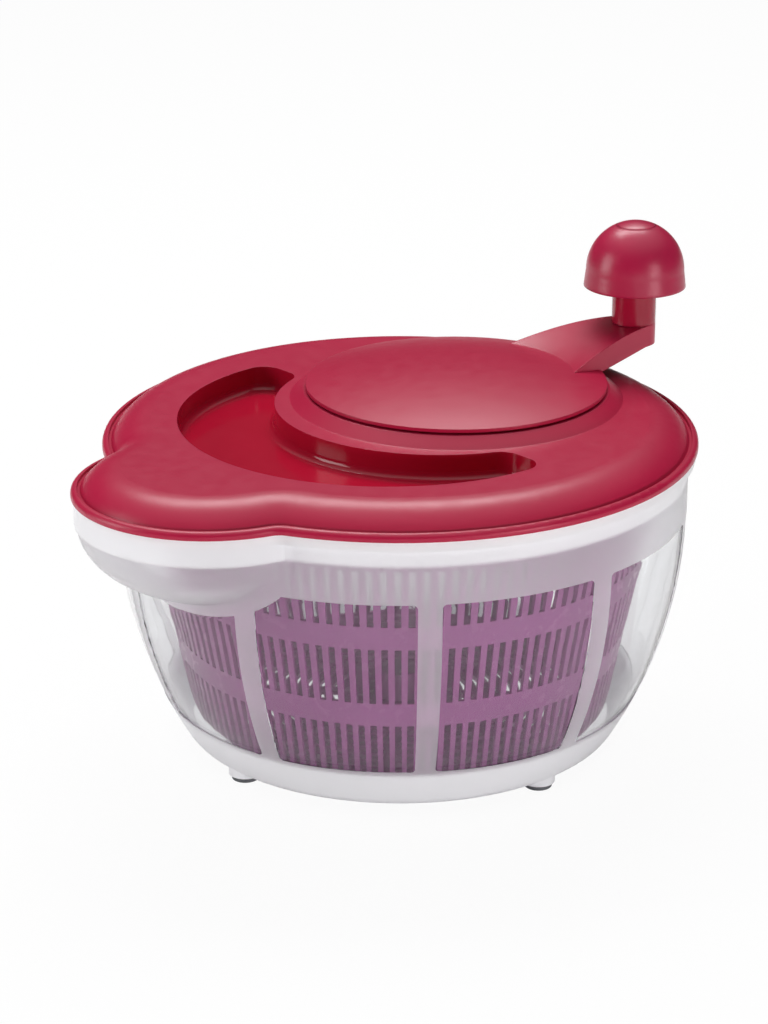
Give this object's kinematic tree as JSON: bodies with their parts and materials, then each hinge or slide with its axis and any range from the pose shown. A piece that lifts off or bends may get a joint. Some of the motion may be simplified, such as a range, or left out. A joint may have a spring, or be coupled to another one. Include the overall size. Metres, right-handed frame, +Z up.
{
  "type": "salad spinner",
  "caption": "Hand-cranked salad spinner: clear bowl with a pouring spout, slotted plum basket, and a red lid with a crescent recess and an offset geared crank.",
  "frame": {"origin": "on the axis of the bowl and basket, on the surface that the feet stand on", "axes": "+Z up along the basket's axis, the spout along -X and the crank's axis on the +X side"},
  "size_m": [0.3137, 0.26, 0.2144],
  "materials": {
    "bowl_plastic": "clear plastic with frosted bars, rim, base and spout",
    "foot_rubber": "grey rubber",
    "bearing_plastic": "plain",
    "basket_plastic": "plum plastic",
    "gear_plastic": "plain",
    "lid_plastic": "raspberry red, finely textured",
    "post_plastic": "polished red",
    "steel": "plain"
  },
  "bodies": {
    "bowl": {"bowl": "bowl_plastic", "foot_1": "foot_rubber", "foot_2": "foot_rubber", "foot_3": "foot_rubber", "foot_4": "foot_rubber"},
    "pivot": {"pivot_cap": "bearing_plastic"},
    "basket": {"basket": "basket_plastic"},
    "lid": {"lid": "lid_plastic"},
    "drive": {"drive_plate": "basket_plastic", "drive_pinion": "gear_plastic", "drive_washer": "steel", "drive_screw": "steel"},
    "crank": {"crank_handle": "lid_plastic", "ring_gear": "gear_plastic", "ring_gear_screws": "steel", "crank_washer": "steel", "crank_screw": "steel", "knob_post": "post_plastic", "post_screw": "steel", "knob_washer": "steel", "knob_screw": "steel"},
    "knob": {"knob": "lid_plastic", "knob_cap": "lid_plastic"}
  },
  "joints": [
    {"name": "lid_lift", "type": "slide", "parent": "bowl", "child": "lid", "axis": [0, 0, 1], "range_m": [0, 0.3]},
    {"name": "basket_turn", "type": "hinge", "parent": "bowl", "child": "pivot", "pos_m": [0, 0, 0.015], "axis": [0, 0, 1], "continuous": true},
    {"name": "basket_lift", "type": "slide", "parent": "pivot", "child": "basket", "axis": [0, 0, 1], "range_m": [0, 0.15]},
    {"name": "drive_turn", "type": "hinge", "parent": "lid", "child": "drive", "pos_m": [0, 0, 0.135], "axis": [0, 0, 1], "continuous": true},
    {"name": "crank_turn", "type": "hinge", "parent": "lid", "child": "crank", "pos_m": [0.033, 0, 0.145], "axis": [0, 0, 1], "continuous": true},
    {"name": "knob_turn", "type": "hinge", "parent": "crank", "child": "knob", "pos_m": [0.12754, -0.01667, 0.195], "axis": [0, 0, 1], "continuous": true}
  ],
  "couplings": [
    {"joint": "drive_turn", "follows": "basket_turn", "ratio": 1},
    {"joint": "crank_turn", "follows": "basket_turn", "ratio": 0.25},
    {"joint": "basket_lift", "follows": "lid_lift", "ratio": 0.5}
  ]
}
